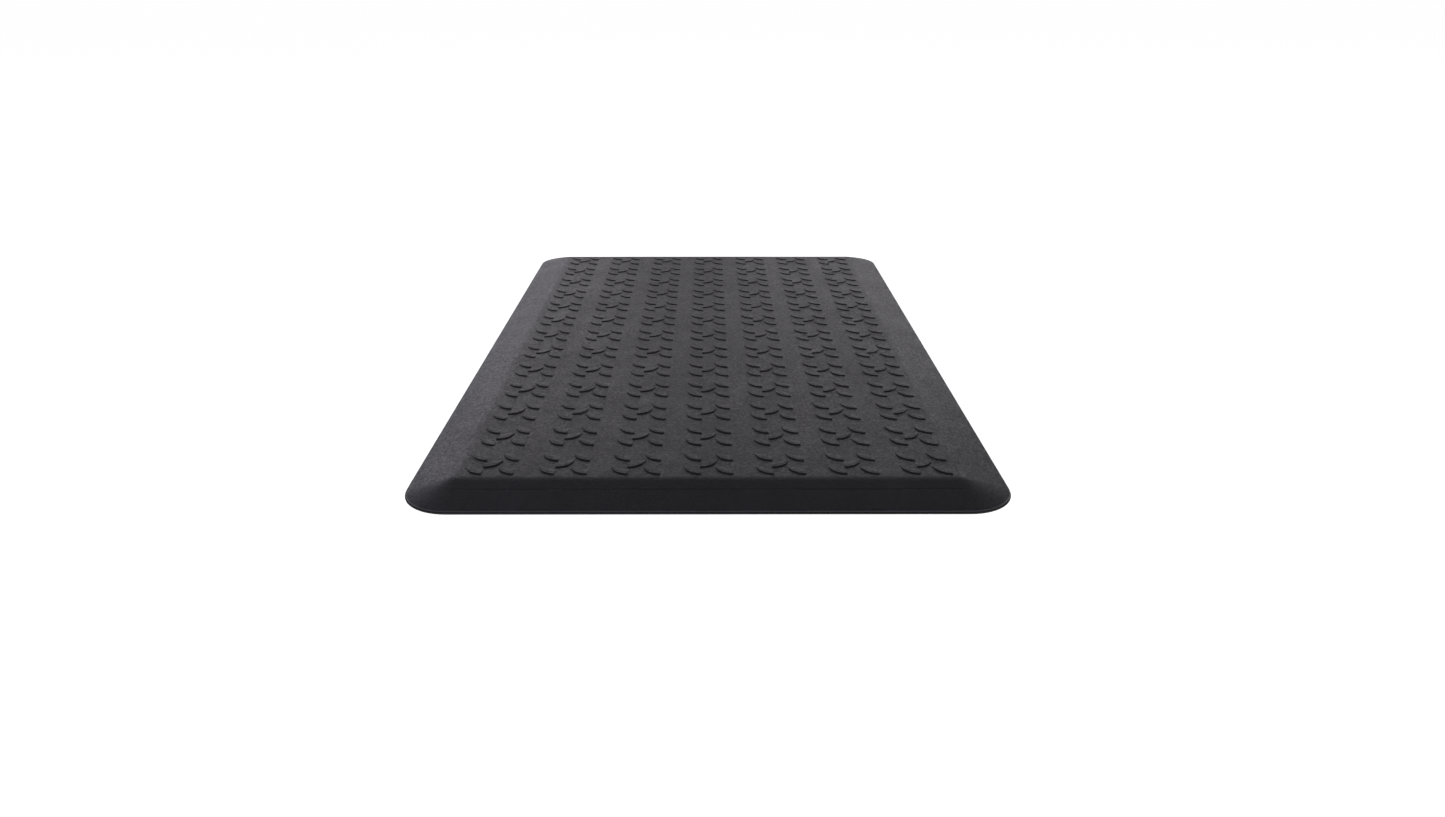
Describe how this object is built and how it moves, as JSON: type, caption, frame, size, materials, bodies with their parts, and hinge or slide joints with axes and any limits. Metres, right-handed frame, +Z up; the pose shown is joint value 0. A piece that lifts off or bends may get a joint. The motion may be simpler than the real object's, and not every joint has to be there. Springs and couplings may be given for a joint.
{
  "type": "anti fatigue mat",
  "caption": "Rectangular standing mat with rounded corners, bevelled edges all round and a raised crescent tread over a foam core and a non-slip base.",
  "frame": {"origin": "centre of the mat's floor outline, on the underside", "axes": "+X across the width, +Y along the length, +Z up; the nubs' steep faces look towards -Y"},
  "size_m": [0.61, 1.016, 0.0172],
  "materials": {
    "skin": "matt, finely grained, moulded polyurethane",
    "foam": "matt, open-celled polyurethane foam",
    "base": "matt, textured non-slip sheet"
  },
  "bodies": {
    "root": {"wear_skin": "skin", "cushion_core": "foam", "base_sheet": "base"}
  },
  "joints": []
}
